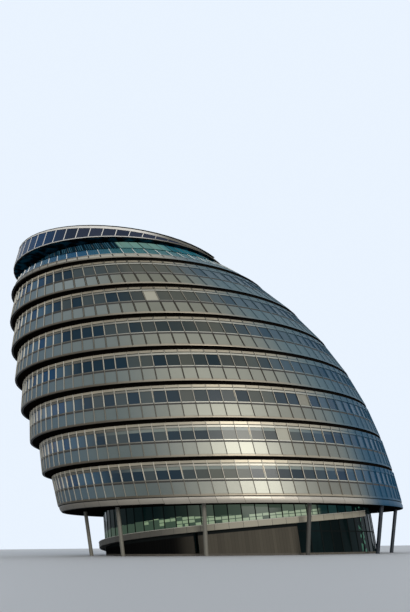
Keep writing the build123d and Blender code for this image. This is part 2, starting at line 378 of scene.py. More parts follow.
def ring_band(name, material, rings, count, first=0.0, last=360.0):
    """A band whose closed section passes through the rings."""
    closed = last - first == 360.0
    angles = [radians(first + (last - first) * step / count) for step in range(count + 1)]
    sections = [[ring_corner(ring, angle) for ring in rings] for angle in angles]
    swept(name, material, sections[:-1] if closed else sections, closed)


dark_metal = satin_metal("dark_steel", (0.009, 0.011, 0.011), 0.5, 0.0, 0.0)
ring_bars(
    "lobby_mullions", dark_metal, lobby_half_bays,
    lobby_ring(ground_level, -mullion_inset), lobby_ring(soffit_level, -mullion_inset),
    mullion_width, mullion_depth,
)
transom_corners = (
    (door_head, -transom_front), (door_head + transom_height, -transom_front),
    (door_head + transom_height, -transom_back), (door_head, -transom_back),
)
ring_band(
    "lobby_transom", dark_metal,
    [lobby_ring(level, out) for level, out in transom_corners],
    transom_steps, panel_end, ramp_foot,
)


# Lobby panels
# Dark metal panels close the wall under the ramp and cover its posts. They hang in narrow
# upright boards, with painted shade: near black in the ramp's shadow, black to the south.
ramp_climb = 0.0134
ramp_level = 1.106
ramp_level_angle = -150.0
ramp_datum = ramp_level - ramp_climb * ramp_level_angle
ramp_half = 0.173
ramp_shadow = 0.20
panel_board = 1.25
first_board = 720.0


def turn_about(x, y, centre):
    """The angle in degrees about a ring's centre, from -180 to 180."""
    return x.maths("ARCTAN2", y, x - centre) * degrees(1)


def lobby_turn(x, y, z):
    """The angle round the lobby wall, from a turn before the ramp's foot up to it."""
    angle = turn_about(x, y, lobby_centre - z * (lobby_lean / soffit_level))
    return angle - (angle > ramp_foot) * 360.0


def chance(number, seed):
    """A random number for each whole number."""
    vector = number.node("ShaderNodeCombineXYZ", {}, {0: number, 1: seed})
    settings = {"noise_dimensions": "2D"}
    return number.node("ShaderNodeTexWhiteNoise", settings, {"Vector": vector}, out="Value")


def board_number(value, pitch):
    """Which board of a row a point lies in, counted so that no number is negative."""
    count = value / pitch + first_board
    return count.maths("FLOOR", count)


def boards(value, pitch, gap):
    """Which board of a row a point lies in, and whether it lies in the joint beside it."""
    number = board_number(value, pitch)
    across = value / pitch + first_board - number
    return number, 1 - (across > gap) * (across < 1 - gap)


def lobby_panel_material():
    """Brown grey boards, with painted shade: near black in the ramp's shadow, black to the south.
    """
    material, wire, place = start_material("dark_lobby_panel")
    x, y, z = split(place)
    angle = lobby_turn(x, y, z)
    number, joint = boards(angle, panel_board, 0.03)
    colour = blend(chance(number, 4.0), (0.062, 0.056, 0.045), (0.080, 0.072, 0.057))
    # Painted shade: the southern stretch under the overhang is black.
    colour = blend(step_up(angle, -112.0, -128.0), colour, (0.004, 0.004, 0.004))
    colour = blend(joint * 0.4, colour, (0.02, 0.018, 0.015))
    # Painted shadow of the ramp: near black, bounded by a line ramp_shadow below its underside.
    below = ramp_datum - ramp_half - ramp_shadow + angle * ramp_climb - z
    ramp_shadow_mask = (below > 0.0) * (angle < panel_end)
    colour = blend(ramp_shadow_mask, (0.010, 0.012, 0.012), colour)
    streak = noise(place, 2.0, 4.0, (8.0, 8.0, 1.0))
    normal = bump(1 - joint, 0.3, 0.006)
    surface(wire, colour, 0.45 + streak * 0.15, normal, Specular_IOR_Level=0.0)
    return material


lobby_panel = lobby_panel_material()
dress("lobby_panels", lobby_panel)
dress("lobby_posts", lobby_panel)


# Lobby glass
# Under and beyond the ramp the wall is clear glass in front of a dark lobby. One half bay near
# the ramp's north end carries a painted glow of the lit core behind.
lobby_pitch = 360.0 / lobby_half_bays
lit_bay_start = -47.5
lit_bay_end = -42.5


def room_glass(wire, place, pick, seen, reflection):
    """Dark glass that glows in the given colour: a painted glow of the lit room behind."""
    surface(
        wire, blend(pick, (0.001, 0.002, 0.002), (0.002, 0.004, 0.004)), 0.05 + pick * 0.03,
        bump(noise(place, 0.9), 0.04, 0.02), Emission_Color=seen, Emission_Strength=1.0,
        Specular_IOR_Level=reflection,
    )


def lobby_glass_material():
    """Near black glass with a faint painted glow in its panes and a green painted glow in one bay.
    """
    material, wire, place = start_material("lobby_glass")
    x, y, z = split(place)
    angle = lobby_turn(x, y, z)
    pick = chance(board_number(angle, lobby_pitch), 2.0)
    depth = noise(place, 1.1, 3.0, (1.6, 1.6, 0.5))
    # Painted glow: faint light from the dark lobby in some panes.
    seen = blend(pick * depth, (0.000, 0.001, 0.001), (0.005, 0.012, 0.013))
    # Painted glow of the lit core in one half bay.
    lit = step_up(angle, lit_bay_start, lit_bay_start + 1)
    lit = lit * step_up(angle, lit_bay_end, lit_bay_end - 1)
    lamp = noise(place, 3.5, 1.0) > 0.52
    room_glass(wire, place, pick, blend(lit * lamp, seen, (0.04, 0.12, 0.08)), 0.02)
    return material


dress("lobby_glass", lobby_glass_material())


# Clerestory glass
# Above the ramp a band of clear glass lights the lobby. A painted glow of the lit ceiling
# shows pale green low down, and the rest falls away to a dark teal.
ceiling_board = 0.20


def clerestory_material():
    """Glass with a painted glow, pale green above the ramp and dark towards the soffit."""
    material, wire, place = start_material("clerestory_glass")
    x, y, z = split(place)
    angle = lobby_turn(x, y, z)
    pick = chance(board_number(angle, lobby_pitch), 7.0)
    rise = z - (angle * ramp_climb + ramp_datum)
    # Painted light: the glow is brighter towards the front, and goes dark to the north.
    front = step_up(angle, -135.0, -92.0)
    low = blend(front, (0.20, 0.28, 0.17), (0.29, 0.36, 0.25))
    column, upright = boards(angle, lobby_pitch / 2, 0.06)
    shelf, edge = boards(rise, ceiling_board, 0.10)
    shown = chance(column + shelf * 3.0, 3.0) > 0.55 - front * 0.45
    frames = 1 - (1 - upright) * (1 - edge) * shown * step_up(angle, -146.0, -138.0)
    low = blend(frames * 0.85, low, (0.012, 0.030, 0.024))
    room = blend(pick, (0.030, 0.048, 0.034), (0.100, 0.132, 0.100))
    high = blend(front, (0.001, 0.005, 0.005), room)
    top = 0.52 + step_up(angle, -95.0, -130.0) * 0.28 + chance(column, 8.0) * 0.08
    seen = blend(rise < top, high, low)
    far = blend(pick, (0.002, 0.010, 0.011), (0.012, 0.036, 0.035))
    seen = blend(step_up(angle, -72.0, -68.0), seen, far)
    room_glass(wire, place, pick, seen, 0.05)
    return material


dress("clerestory_glass", clerestory_material())


# Ramp band
# A precast ramp climbs round the outside of the lobby wall. Its outer edge is faced with pale
# stone panels, one to each half bay, under a thin metal coping. Its underside is painted
# black and its south end darker, both as shade.
ramp_inner = 0.30
ramp_outer = 0.44
ramp_steps = 35
ramp_step = 5.0
coping_depth = 0.025
coping_nose = 0.02


def ramp_stone_material():
    """Honed stone, warmer in one panel than the next, with dark joints and painted shade."""
    material, wire, place = start_material("ramp_stone")
    x, y, z = split(place)
    angle = lobby_turn(x, y, z)
    number, joint = boards(angle, lobby_pitch, 0.012)
    tone = chance(number, 1.0) * 0.6 + noise(place, 5.0, 5.0) * 0.4
    colour = blend(tone, (0.235, 0.220, 0.170), (0.320, 0.300, 0.235))
    # Painted shade: darker towards the south, under the overhang.
    colour = blend(step_up(angle, -100.0, -135.0) * 0.85, colour, (0.050, 0.047, 0.042))
    colour = blend(joint, colour, (0.05, 0.045, 0.04))
    # Painted shade: the underside is near black.
    colour = blend(facing(wire) < -0.5, colour, (0.006, 0.006, 0.006))
    normal = bump(noise(place, 40.0), 0.15)
    surface(wire, colour, 0.5 + tone * 0.15, normal, Specular_IOR_Level=0.3)
    return material


def ramp_strip(name, material, low, high, inner, outer):
    """A strip along the ramp, its levels measured from the ramp's middle."""
    sections = []
    for step in range(ramp_steps + 1):
        angle = ramp_foot - 360.0 + ramp_step * step
        middle = ramp_datum + ramp_climb * angle
        corners = ((low, inner), (low, outer), (high, outer), (high, inner))
        sections.append([
            ring_corner(lobby_ring(max(middle + rise, 0.0), out), radians(angle))
            for rise, out in corners
        ])
    swept(name, material, sections, False)


dress("ramp_band", ramp_stone_material())
coping_metal = satin_metal("coping_aluminium", (0.46, 0.44, 0.38), 0.45, 0.1)
ramp_strip(
    "ramp_coping", coping_metal,
    ramp_half, ramp_half + coping_depth, ramp_inner, ramp_outer + coping_nose,
)


# Raking columns
# Round steel columns, painted warm grey, carry the overhanging body. They rake outwards from
# ground level to the soffit, and towards the north they carry painted shade.
def column_paint_material():
    """Warm grey paint, with painted shade towards the north."""
    material, wire, place = start_material("column_paint")
    x = split(place)[0]
    streak = noise(place, 4.0, 4.0, (6.0, 6.0, 1.0))
    # Painted shade: darker towards the north, and near black blue at the far north end.
    paint_and_shade = blend(step_up(x, -4.5, 3.0), (0.165, 0.158, 0.130), (0.045, 0.044, 0.039))
    paint_and_shade = blend(streak * 0.5, paint_and_shade, (0.085, 0.082, 0.072))
    colour = blend(step_up(x, 4.5, 8.0), paint_and_shade, (0.010, 0.015, 0.022))
    surface(wire, colour, 0.45 + streak * 0.1, bump(streak, 0.03), Specular_IOR_Level=0.3)
    return material


dress("raking_columns", column_paint_material())


# Fascia ring
# Under the lowest storey a ring of rolled aluminium sheets hides the edge of the floor. Each
# sheet spans two bays, and bulges a little between two straight edges.
storey_height = 2.2
first_lip = 3.31
fascia_depth = 0.395
belly_radius = 12.82
belly_level = 8.405
pebble_rise = 16.09
pebble_drop = 18.24
pivot_storey = 4
lean_rate = 0.907
lean_bend = 0.0473
lean_twist = 0.00824
# The near black below is painted shade for recesses, linings, edges and undersides.
gap_shade = (0.006, 0.005, 0.004)
cassette_counts = (16, 16, 16, 16, 15, 14, 13)
bays_per_cassette = 6
storey_count = len(cassette_counts)
gallery_level = first_lip + storey_count * storey_height
flank_fade = 0.36


def lean(level):
    """How far south of the pivot storey's centre a ring's centre stands."""
    storeys = (level - first_lip) / storey_height - pivot_storey
    return lean_rate * storeys + lean_bend * storeys**2 + lean_twist * storeys**3


def body_ring(level):
    """Level, centre and radius of the body's outline, which follows two half ellipses."""
    reach = pebble_rise if level > belly_level else pebble_drop
    radius = belly_radius * sqrt(1 - ((level - belly_level) / reach) ** 2)
    return level, lean(first_lip) - lean(level), radius


def between(low, high, share):
    """The ring that lies a share of the way up a straight wall."""
    return tuple(a + (b - a) * share for a, b in zip(low, high))


def proud(ring, distance):
    """The same ring, drawn outwards."""
    level, centre, radius = ring
    return level, centre, radius + distance


def profile_rings(low, high, profile):
    """The rings of a trim's section, each a share of the height and a distance outwards."""
    return [proud(between(low, high, share), out) for share, out in profile]


def ring_side(x, y, centre):
    """How far north a point lies on a ring, from -1 to 1, and its distance from the centre."""
    away = x - centre
    reach = x.maths("SQRT", away * away + y * y)
    return away / reach, reach


def wall_place(x, y, z, low, high):
    """On a leaning wall: the share of its height, the angle, the side and the reach."""
    share = (z - low[0]) / (high[0] - low[0])
    centre = low[1] + share * (high[1] - low[1])
    return share, turn_about(x, y, centre), *ring_side(x, y, centre)


def north_edge(low):
    """Where the painted sky reflection on a wall's northern flank starts. It reaches further round
    higher up.
    """
    return flank_fade - 0.060 * (low[0] - first_lip) / storey_height


def north_sky_reflection(side, low, colour, reflected_blue=(0.080, 0.128, 0.152), lead=0.0):
    """Painted sky reflection: blue on the northern flank, deeper further round."""
    start = north_edge(low) - lead
    deep = max(0.92 - 0.15 * (low[0] - first_lip) / storey_height, 0.15)
    colour = blend(step_up(side, start, start + flank_fade) * 0.95, colour, reflected_blue)
    return blend(step_up(side, 0.46, 0.68) * deep, colour, (0.008, 0.052, 0.105))


def satin_share(side, low):
    """How metallic the sheets look, which is most between the two flanks."""
    start = north_edge(low)
    return step_up(side, start + 0.3, start) * step_up(side, -0.80, -0.45) * 0.5


def south_sky_reflection(side, colour):
    """Painted sky reflection: a greyer blue on the southern flank."""
    return blend(step_up(side, -0.60, -0.90) * 0.75, colour, (0.095, 0.150, 0.190))


def pale_panel_material(name, low, high, pitch, colour, gap):
    """Pale satin sheets with dark joints, and painted shade to the south and underneath."""
    material, wire, place = start_material(name)
    x, y, z = split(place)
    _, angle, side, _ = wall_place(x, y, z, low, high)
    number, joint = boards(angle, pitch, gap)
    tone = chance(number, 3.0) * 0.5 + noise(place, 1.5) * 0.5
    # Painted sky reflection on the northern flank.
    shade = north_sky_reflection(side, low, blend(tone, darker(colour, 0.80), colour))
    # Painted shade: darker on the southern flank.
    shade = blend(step_up(side, -0.40, -0.85) * 0.8, shade, darker(colour, 0.36))
    shade = blend(joint, shade, (0.035, 0.03, 0.025))
    # Painted shade on the undersides.
    shade = blend(facing(wire) < -0.7, shade, gap_shade)
    normal = bump(noise(place, 90.0), 0.04)
    satin = satin_share(side, low)
    surface(wire, shade, 0.36 + tone * 0.1, normal, Metallic=satin, Specular_IOR_Level=0.05)
    return material


fascia_low = body_ring(first_lip - fascia_depth)
fascia_high = body_ring(first_lip)
fascia_facets = cassette_counts[0] * bays_per_cassette
fascia_metal = pale_panel_material(
    "fascia_sheet", fascia_low, fascia_high, 2 * 360.0 / fascia_facets, (0.43, 0.395, 0.335), 0.006
)
fascia_profile = (
    (0.0, -0.02), (0.0, 0.004), (0.10, 0.026), (0.26, 0.040), (0.44, 0.045), (0.62, 0.038),
    (0.78, 0.020), (0.90, 0.0), (0.90, -0.02),
)
dress("fascia_ring", dark_metal)
ring_band(
    "fascia_sheets", fascia_metal,
    profile_rings(fascia_low, fascia_high, fascia_profile), fascia_facets,
)


# Facade panels
# Every office storey is a ring of folded aluminium cassettes: an olive grey spandrel below the
# window band, a tan head above it, and a lining behind in painted shade. The cassettes hang
# from the floors.
sill_share = 0.485
head_share = 0.835
recess_height = 0.176
overhang_south = 0.320
overhang_growth = 0.110
overhang_easing = 0.0087
head_proud_north = 0.105


def set_back(ring, south, north):
    """A ring drawn in by different depths on its south and north sides."""
    level, centre, radius = ring
    return level, centre + (south - north) / 2, radius - (south + north) / 2


def head_ring(lip_level):
    """The ring of a facade's head, at the foot of the recess under the lip at this level."""
    down = (gallery_level - lip_level) / storey_height
    overhang = overhang_south + overhang_growth * down - overhang_easing * down**2
    level, centre, radius = set_back(body_ring(lip_level), overhang, -head_proud_north)
    return level - recess_height, centre, radius


def facade_rings(storey):
    """The foot and head of a storey's facade."""
    low = body_ring(first_lip + storey * storey_height)
    return low, head_ring(low[0] + storey_height)


def bay_angle(storey):
    """The angle of one facade bay."""
    return 360.0 / (cassette_counts[storey] * bays_per_cassette)


def facade_panel_material(storey):
    """Painted panels: spandrel, head and lining, varying by bay, with painted light and shade."""
    material, wire, place = start_material(f"facade_panel_{storey + 1}")
    x, y, z = split(place)
    low, high = facade_rings(storey)
    share, angle, side, reach = wall_place(x, y, z, low, high)
    number, joint = boards(angle, bay_angle(storey), 0.014 + 0.012 * storey)
    tone = chance(number, storey + 0.5) * 0.55 + noise(place, 1.2, 2.0) * 0.45
    height = storey / (storey_count - 1)
    # Painted light: the spandrels are lighter on the lower storeys and darker higher up.
    olive = between((0.275, 0.274, 0.234), (0.158, 0.158, 0.124), height)
    spandrel = blend(tone, olive, darker(olive, 1.22))
    # Painted shade: the lower storeys' spandrels darken towards the north.
    shade_weight = max(0.9 - 0.25 * storey, 0.0)
    spandrel = blend(step_up(side, 0.0, 0.35) * shade_weight, spandrel, darker(olive, 0.62))
    # Painted shade and sky reflection: a blue grey on the southern flank.
    south = between((0.128, 0.153, 0.147), (0.205, 0.235, 0.230), height**3)
    spandrel = blend(step_up(side, -0.20, -0.60), spandrel, south)
    head = blend(tone, (0.330, 0.290, 0.220), (0.400, 0.360, 0.280))
    colour = blend(share > 0.62, south_sky_reflection(side, spandrel), head)
    shadow_line = (share > 0.895) * (share < 0.925)
    colour = blend(joint + shadow_line, colour, darker(olive, 0.25))
    # Painted sky reflection on the northern flank.
    colour = north_sky_reflection(side, low, colour)
    # Painted shade: the lining behind the front and the undersides are near black.
    lining = reach < low[2] - 0.10 + share * (high[2] - low[2])
    colour = blend(lining + (facing(wire) < -0.75), colour, gap_shade)
    satin = satin_share(side, low) * (1 - joint)
    normal = bump(noise(place, 3.0), 0.05, 0.02)
    finish = 0.37 if storey < 2 else 0.40
    surface(wire, colour, finish + tone * 0.08, normal, Metallic=satin, Specular_IOR_Level=0.05)
    return material


for storey in range(storey_count):
    dress(f"facade_{storey + 1}", facade_panel_material(storey))


# Windows
# One strip of tinted double glazing stands behind each cassette. The tint changes from bay to
# bay with the rooms behind. A few bays have their blinds down, and in the two lowest storeys
# all of them hang a little. Painted shade, sheen and sky reflection change the tint by side.
# Each blind's second number is a share of light: below 1 it is painted shade.
drawn_blinds = {1: (698, 1.0), 2: (701, 0.60), 5: (696, 1.0)}
blind_share = head_share - 0.09


def window_material(storey):
    """Dark blue grey glass whose depth of colour changes from bay to bay."""
    material, wire, place = start_material(f"window_glass_{storey + 1}")
    x, y, z = split(place)
    low, high = facade_rings(storey)
    share, angle, side, _ = wall_place(x, y, z, low, high)
    number, joint = boards(angle, bay_angle(storey), 0.035)
    run = (number / 3.0).maths("FLOOR", number / 3.0)
    pick = chance(number, storey + 3.5) * 0.65 + chance(run, storey + 5.5) * 0.35
    stops = (
        (0.0, (0.015, 0.026, 0.033)), (0.30, (0.028, 0.038, 0.040)), (0.50, (0.046, 0.054, 0.052)),
        (0.66, (0.068, 0.073, 0.063)), (0.80, (0.092, 0.097, 0.080)),
    )
    tint = wire.node("ShaderNodeValToRGB", {"stops": stops}, {0: pick}, out="Color")
    # Painted sheen: a grey haze of reflected sky over the front's northern half, stronger higher
    # up.
    sheen_start = 0.35 - 0.13 * storey
    sheen_band = step_up(side, sheen_start, sheen_start + 0.25) * step_up(side, 0.75, 0.45)
    tint = blend(sheen_band * (0.05 + 0.145 * storey), tint, (0.080, 0.084, 0.070))
    # Painted shade: the lower storeys darken towards the north.
    shade_weight = max(0.6 - 0.2 * storey, 0.0)
    tint = blend(step_up(side, 0.05, 0.30) * shade_weight, tint, (0.006, 0.018, 0.030))
    # Painted shade on the southern flank, with some painted sky reflection in it.
    shade = blend(pick > 0.55, (0.008, 0.024, 0.040), (0.042, 0.058, 0.064))
    tint = blend(step_up(side, -0.20, -0.50) * 0.9, tint, shade)
    # Painted sky reflection: blue at the far south.
    reflected_blue = blend(pick > 0.45, (0.004, 0.052, 0.130), (0.055, 0.125, 0.195))
    tint = blend(step_up(side, -0.66, -0.86) * 0.9, tint, reflected_blue)
    if storey < 2:
        hanging = (share > blind_share) * step_up(side, -0.75, -0.45)
        tint = blend(hanging, tint, (0.175, 0.20, 0.18))
    height = storey / (storey_count - 1)
    # Painted sky reflection on the northern flank, paler higher up.
    north = blend(
        pick > 0.5, between((0.006, 0.026, 0.056), (0.042, 0.076, 0.104), height),
        between((0.026, 0.062, 0.100), (0.072, 0.108, 0.134), height),
    )
    tint = north_sky_reflection(side, low, tint, north, 0.20 - 0.16 * height)
    if storey in drawn_blinds:
        bay, light = drawn_blinds[storey]
        cloth = darker((0.33, 0.32, 0.26), light)
        tint = blend((number > bay - 0.5) * (number < bay + 0.5), tint, cloth)
    tint = blend(joint, tint, (0.010, 0.010, 0.009))
    normal = bump(noise(place, 1.1), 0.05, 0.02)
    gloss = 0.06 if storey > 2 else 0.30
    surface(wire, tint, 0.24 + pick * 0.08, normal, Specular_IOR_Level=gloss)
    return material


for storey in range(storey_count):
    dress(f"windows_{storey + 1}", window_material(storey))


# Mullion fins
# A slim extruded aluminium fin stands on every bay line of a facade, from the lip trim up to
# the head. Painted light makes its north side bright and painted shade its south side brown,
# and its nose is in painted shade below the sill.
fin_foot = 0.04
fin_head = 0.995
fin_foot_proud = 0.052
fin_head_proud = 0.048
fin_width = 0.032
fin_depth = 0.080


def fin_material(storey):
    """A side in painted light, a brown side in painted shade, and a nose shaded below the sill."""
    material, wire, place = start_material(f"fin_aluminium_{storey + 1}")
    x, y, z = split(place)
    low, high = facade_rings(storey)
    share, _, side, reach = wall_place(x, y, z, low, high)
    look_x, look_y, _ = split(wire.node("ShaderNodeNewGeometry", out="Normal"))
    outward = look_x * side + look_y * (y / reach)
    along = look_y * side - look_x * (y / reach)
    grain = noise(place, 4.0, 3.0, (6.0, 6.0, 1.0))
    # Painted light on the north side, paler in the window band.
    bright = blend(share > sill_share, (0.26, 0.25, 0.21), (0.50, 0.48, 0.41))
    # Painted shade, brown, on the south side, darker higher up.
    brown = between((0.16, 0.14, 0.11), (0.075, 0.064, 0.050), min(storey / 3, 1.0))
    flank = blend(along < -0.5, bright, brown)
    # The nose: painted light above the sill, paler lower down, and painted shade below it.
    pale = between((0.52, 0.48, 0.40), (0.17, 0.16, 0.13), storey / (storey_count - 1))
    dark = between((0.13, 0.115, 0.09), (0.045, 0.038, 0.030), min(storey / 3, 1.0))
    nose = blend(share > sill_share, dark, pale)
    # Painted highlight: the nose is pale on the southern flank.
    nose = blend(step_up(side, -0.60, -0.80), nose, (0.37, 0.375, 0.355))
    colour = blend(outward > 0.6, flank, nose)
    # Painted sky reflection on the northern flank.
    reflected_blue = blend(share > sill_share, (0.078, 0.122, 0.147), (0.045, 0.085, 0.115))
    colour = north_sky_reflection(side, low, colour, reflected_blue)
    normal = bump(noise(place, 120.0), 0.04)
    surface(wire, colour, 0.40 + grain * 0.1, normal, Specular_IOR_Level=0.1)
    return material


for storey, count in enumerate(cassette_counts):
    low, high = facade_rings(storey)
    ring_bars(
        f"mullion_fins_{storey + 1}", fin_material(storey),
        count * bays_per_cassette,
        proud(between(low, high, fin_foot), fin_foot_proud),
        proud(between(low, high, fin_head), fin_head_proud), fin_width, fin_depth,
    )


# Facade trims
# Folded aluminium trims run round each storey: a lip at the foot, a transom at the sill with a
# dark band of painted shadow under it, and a head rail. All of them follow the facade's slope.
def trim_material(name, colour, low, high):
    """Satin aluminium, with painted shade underneath and on its southern flank."""
    material, wire, place = start_material(name)
    x, y, z = split(place)
    side = wall_place(x, y, z, low, high)[2]
    grain = noise(place, 2.2, 4.0)
    # Painted sky reflection on the northern flank.
    bright = north_sky_reflection(side, low, blend(grain, darker(colour, 0.84), colour))
    # Painted shade: darker on the southern flank.
    bright = blend(step_up(side, -0.25, -0.65) * 0.85, bright, darker(colour, 0.20))
    # Painted shade on the underside.
    colour = blend(facing(wire) < -0.6, bright, gap_shade)
    normal = bump(noise(place, 130.0), 0.04)
    satin = satin_share(side, low)
    surface(wire, colour, 0.36 + grain * 0.1, normal, Metallic=satin, Specular_IOR_Level=0.05)
    return material


lip_tone = (0.32, 0.28, 0.215)
rail_tone = (0.40, 0.385, 0.33)
# A near black band under the sill transom: painted shadow of the transom.
transom_shadow_band = satin_metal("transom_shadow_paint", (0.030, 0.027, 0.022), 0.6, 0.0)
lip_profile = (
    (0.0, -0.03), (0.0, 0.030), (0.012, 0.040), (0.048, 0.040), (0.066, 0.022), (0.066, -0.02),
)
facade_trims = (
    ("transom_shadow_line", "post_metal", None,
     ((0.405, -0.02), (0.405, 0.006), (0.452, 0.006), (0.452, -0.02))),
    ("lip_trim", "pale_metal", lip_tone, lip_profile),
    ("sill_rail", "pale_metal", rail_tone,
     ((0.452, -0.03), (0.452, 0.024), (0.482, 0.024), (0.482, -0.03))),
    ("head_rail", "pale_metal", rail_tone,
     ((0.838, -0.03), (0.838, 0.024), (0.888, 0.024), (0.888, -0.03))),
)
for storey, count in enumerate(cassette_counts):
    low, high = facade_rings(storey)
    for trim_name, slot, tone, profile in facade_trims:
        name = f"{trim_name}_{storey + 1}"
        if trim_name == "sill_rail" and storey > 4:
            tone = darker(tone, 0.55)
        material = trim_material(name, tone, low, high) if tone else transom_shadow_band
        rings = profile_rings(low, high, profile)
        ring_band(name, material, rings, count * bays_per_cassette)


# Floors and soffits
# A concrete floor fills each storey out to the inside of its cassettes. The floors' edges,
# which show in the recess under each lip, and the soffit over the lobby are painted near black
# as shade.
slab_concrete = concrete("slab_concrete", (0.30, 0.29, 0.27), gap_shade)
for number in range(1, storey_count + 1):
    dress(f"floor_{number}", slab_concrete)


# Gallery deck and parapet
# Above the top storey an open gallery runs round the building behind a parapet of pale
# aluminium boxes, with a dark joint at each post.
gallery_height = 2.025
gallery_inset_south = 0.465
gallery_inset_north = 0.130
crown_level = gallery_level + gallery_height
gallery_low = body_ring(gallery_level)
gallery_high = set_back(body_ring(crown_level), gallery_inset_south, gallery_inset_north)
parapet_share = 0.21
gallery_bays = 72
gallery_pitch = 360.0 / gallery_bays
parapet_metal = pale_panel_material(
    "parapet_box", gallery_low, gallery_high, gallery_pitch, (0.42, 0.395, 0.325), 0.05
)
dress("gallery_deck", slab_concrete)
dress("gallery_parapet", parapet_metal)
cap_profile = (
    (0.185, 0.018), (parapet_share + 0.004, 0.018), (parapet_share + 0.004, -0.125),
    (0.200, -0.125), (0.200, -0.02), (0.185, -0.02),
)
for name, tone, profile in (
    ("parapet_lip", lip_tone, lip_profile), ("parapet_cap", rail_tone, cap_profile),
):
    material = trim_material(name, tone, gallery_low, gallery_high)
    rings = profile_rings(gallery_low, gallery_high, profile)
    ring_band(name, material, rings, gallery_bays)


# Balustrade
# Leaning panes of blue tinted glass, with painted sky reflection bluer to the south, stand on
# the parapet. Slim bright posts hold them at every bay, under a thin dark rail.
balustrade_share = 0.50
post_width = 0.030
post_depth = 0.20
post_proud = 0.012


def balustrade_glass_material():
    """Blue tinted glass that lets a share of the light through, with painted sky reflection bluer
    to the south.
    """
    material, wire, place = start_material("balustrade_glass")
    x, y, z = split(place)
    _, angle, side, _ = wall_place(x, y, z, gallery_low, gallery_high)
    pick = chance(board_number(angle, gallery_pitch), 6.0)
    # Painted sky reflection: bluer towards the south.
    south = step_up(side, -0.10, -0.50)
    deep = blend(south, (0.014, 0.105, 0.115), (0.003, 0.070, 0.160))
    colour = blend(pick * 0.35, deep, (0.040, 0.150, 0.190))
    normal = bump(noise(place, 1.0), 0.04, 0.02)
    surface(wire, colour, 0.05 + pick * 0.03, normal, Specular_IOR_Level=0.1, Alpha=0.6)
    return material


dress("gallery_balustrade", balustrade_glass_material())
post_metal = satin_metal("post_aluminium", (0.70, 0.70, 0.66), 0.4, 0.0)
ring_bars(
    "balustrade_posts", post_metal, gallery_bays,
    proud(between(gallery_low, gallery_high, parapet_share), post_proud),
    proud(between(gallery_low, gallery_high, balustrade_share - 0.03), post_proud),
    post_width, post_depth,
)
rail_profile = ((0.495, 0.0), (0.512, 0.0), (0.512, -0.07), (0.495, -0.07))
ring_band(
    "balustrade_rail", dark_metal,
    profile_rings(gallery_low, gallery_high, rail_profile), gallery_bays,
)


# Gallery wall
# Set back behind the terrace, a glass wall on dark steel posts carries slim grey mullions. The
# glass carries a painted glow of the lit room behind, pale green in the bays that look east,
# and painted sky reflection, blue towards the south, with painted glints.
deck_thickness = 0.150
gallery_mullion_width = 0.022
gallery_mullion_depth = 0.060
gallery_mullion_inset = 0.004
gallery_setback_south = 1.42
gallery_setback_north = 0.12
facade_wall = 0.110
crown_reach_south = 0.212
crown_reach_north = -0.107
crown_ring = set_back(body_ring(crown_level), -crown_reach_south, -crown_reach_north)
wall_high = set_back(crown_ring, gallery_setback_south, gallery_setback_north)
deck_edge = between(gallery_low, gallery_high, deck_thickness / gallery_height)
south_depth = wall_high[1] - wall_high[2] - (deck_edge[1] - deck_edge[2])
wall_low = set_back(deck_edge, south_depth, facade_wall + gallery_setback_north)


def gallery_glass_material():
    """Glass with a painted glow of a lit room in the middle bays, dark or painted sky blue
    elsewhere.
    """
    material, wire, place = start_material("gallery_glass")
    x, y, z = split(place)
    share, angle, _, _ = wall_place(x, y, z, wall_low, wall_high)
    pick = chance(board_number(angle, gallery_pitch), 9.0)
    low_part = step_up(share - step_up(angle, -100.0, -160.0) * 0.4, 0.58, 0.42)
    # Painted sky reflection: blue on the lower part.
    seen = blend(low_part, (0.002, 0.012, 0.022), (0.003, 0.060, 0.125))
    column, stripe = boards(angle, gallery_pitch / 4, 0.18)
    # Painted glints: pale stripes in the upper part.
    seen = blend(stripe * (1 - low_part) * (chance(column, 2.0) > 0.5), seen, (0.03, 0.09, 0.13))
    # Painted glow of the lit room.
    lit = blend(share, (0.08, 0.24, 0.30), (0.18, 0.33, 0.27))
    lit = blend(step_up(angle, -84.0, -72.0), lit, (0.020, 0.130, 0.170))
    window = step_up(angle, -102.5, -101.0) * step_up(angle, -30.0, -50.0)
    seen = blend(window * (0.65 + pick * 0.35), seen, lit)
    room_glass(wire, place, pick, seen, 0.1)
    return material


dress("gallery_posts", dark_metal)
dress("gallery_glass", gallery_glass_material())
mullion_grey = satin_metal("mullion_grey", (0.20, 0.23, 0.23), 0.35, 0.3)
ring_bars(
    "gallery_mullions", mullion_grey, gallery_bays,
    proud(wall_low, -gallery_mullion_inset), proud(wall_high, -gallery_mullion_inset),
    gallery_mullion_width, gallery_mullion_depth,
)


# Roof and crown trim
# A flat concrete roof overhangs the gallery. Its soffit is painted black as shade, and a folded
# pale trim closes its edge.
trim_shadow = 0.035


def crown_metal_material(name, colour):
    """Pale aluminium, with painted shade: browner to the north, black on its lower edge and
    underside.
    """
    material, wire, place = start_material(name)
    x, y, z = split(place)
    side, _ = ring_side(x, y, crown_ring[1])
    grain = noise(place, 4.0)
    pale = blend(grain, darker(colour, 0.84), colour)
    # Painted shade: browner towards the north.
    pale = blend(step_up(side, 0.05, 0.40), pale, (0.12, 0.115, 0.10))
    # Painted shade: black lower edge and underside.
    dark = (facing(wire) < -0.5) + (z < crown_level + trim_shadow)
    normal = bump(noise(place, 90.0), 0.05)
    surface(wire, blend(dark, pale, gap_shade), 0.45 + grain * 0.1, normal, Specular_IOR_Level=0.05)
    return material


